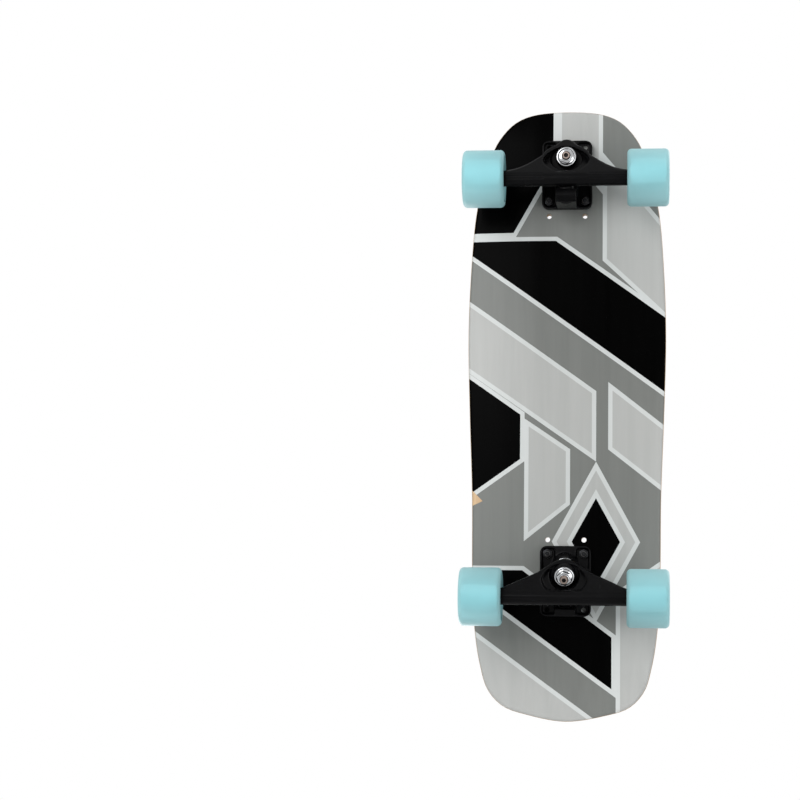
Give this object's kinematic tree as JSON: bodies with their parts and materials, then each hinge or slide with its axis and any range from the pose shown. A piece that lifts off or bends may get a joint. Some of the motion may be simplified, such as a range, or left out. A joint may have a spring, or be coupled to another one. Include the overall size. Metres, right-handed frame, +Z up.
{
  "type": "surf skateboard",
  "caption": "Short surf skateboard: concave maple deck with kicked tail and grip, reverse kingpin front truck, traditional rear truck, wide urethane wheels.",
  "frame": {"origin": "on the floor, under the middle of the deck", "axes": "+Y towards the nose, +Z up, +X to the right of someone who faces the nose"},
  "size_m": [0.2328, 0.705, 0.1212],
  "materials": {
    "deck": "lacquered",
    "grip": "coarse grit",
    "truck_metal": "satin black coat",
    "steel": "bright zinc",
    "black_steel": "black oxide",
    "urethane": "satin",
    "bushing": "satin",
    "pivot_cup": "satin",
    "wheel_core": "satin",
    "bearing": "polished"
  },
  "bodies": {
    "board": {"deck": "deck", "grip_tape": "grip", "front_mounting_bolt_1": "black_steel", "front_lock_nut_1": "black_steel", "front_mounting_bolt_2": "black_steel", "front_lock_nut_2": "black_steel", "front_mounting_bolt_3": "black_steel", "front_lock_nut_3": "black_steel", "front_mounting_bolt_4": "black_steel", "front_lock_nut_4": "black_steel", "front_baseplate": "truck_metal", "front_pivot_cup": "pivot_cup", "front_kingpin": "steel", "front_kingpin_nut": "steel", "front_boardside_washer": "steel", "front_boardside_bushing": "bushing", "front_roadside_bushing": "bushing", "front_roadside_washer": "steel", "rear_mounting_bolt_1": "black_steel", "rear_lock_nut_1": "black_steel", "rear_mounting_bolt_2": "black_steel", "rear_lock_nut_2": "black_steel", "rear_mounting_bolt_3": "black_steel", "rear_lock_nut_3": "black_steel", "rear_mounting_bolt_4": "black_steel", "rear_lock_nut_4": "black_steel", "rear_baseplate": "truck_metal", "rear_pivot_cup": "pivot_cup", "rear_kingpin": "steel", "rear_kingpin_nut": "steel", "rear_boardside_washer": "steel", "rear_boardside_bushing": "bushing", "rear_roadside_bushing": "bushing", "rear_roadside_washer": "steel"},
    "front_hanger_body": {"front_hanger": "truck_metal", "front_axle": "steel", "front_left_axle_nut": "steel", "front_right_axle_nut": "steel"},
    "front_left_wheel": {"front_left_tyre": "urethane", "front_left_core": "wheel_core", "front_left_inner_bearing": "bearing", "front_left_outer_bearing": "bearing"},
    "front_right_wheel": {"front_right_tyre": "urethane", "front_right_core": "wheel_core", "front_right_inner_bearing": "bearing", "front_right_outer_bearing": "bearing"},
    "rear_hanger_body": {"rear_hanger": "truck_metal", "rear_axle": "steel", "rear_left_axle_nut": "steel", "rear_right_axle_nut": "steel"},
    "rear_left_wheel": {"rear_left_tyre": "urethane", "rear_left_core": "wheel_core", "rear_left_inner_bearing": "bearing", "rear_left_outer_bearing": "bearing"},
    "rear_right_wheel": {"rear_right_tyre": "urethane", "rear_right_core": "wheel_core", "rear_right_inner_bearing": "bearing", "rear_right_outer_bearing": "bearing"}
  },
  "joints": [
    {"name": "front_steer", "type": "hinge", "parent": "board", "child": "front_hanger_body", "pos_m": [0, 0.2895, 0.066], "axis": [0, 0.8847, 0.4661], "range_deg": [-15, 15], "stiffness_Nm_per_rad": 25, "deforming": ["front_boardside_bushing", "front_roadside_bushing"]},
    {"name": "front_left_wheel_spin", "type": "hinge", "parent": "front_hanger_body", "child": "front_left_wheel", "pos_m": [-0.0925, 0.26, 0.0325], "axis": [1, 0, 0], "continuous": true},
    {"name": "front_right_wheel_spin", "type": "hinge", "parent": "front_hanger_body", "child": "front_right_wheel", "pos_m": [0.0925, 0.26, 0.0325], "axis": [1, 0, 0], "continuous": true},
    {"name": "rear_steer", "type": "hinge", "parent": "board", "child": "rear_hanger_body", "pos_m": [0, -0.184, 0.0575], "axis": [0, 0.9062, -0.4229], "range_deg": [-15, 15], "stiffness_Nm_per_rad": 25, "deforming": ["rear_boardside_bushing", "rear_roadside_bushing"]},
    {"name": "rear_left_wheel_spin", "type": "hinge", "parent": "rear_hanger_body", "child": "rear_left_wheel", "pos_m": [-0.0925, -0.212, 0.0325], "axis": [1, 0, 0], "continuous": true},
    {"name": "rear_right_wheel_spin", "type": "hinge", "parent": "rear_hanger_body", "child": "rear_right_wheel", "pos_m": [0.0925, -0.212, 0.0325], "axis": [1, 0, 0], "continuous": true}
  ]
}
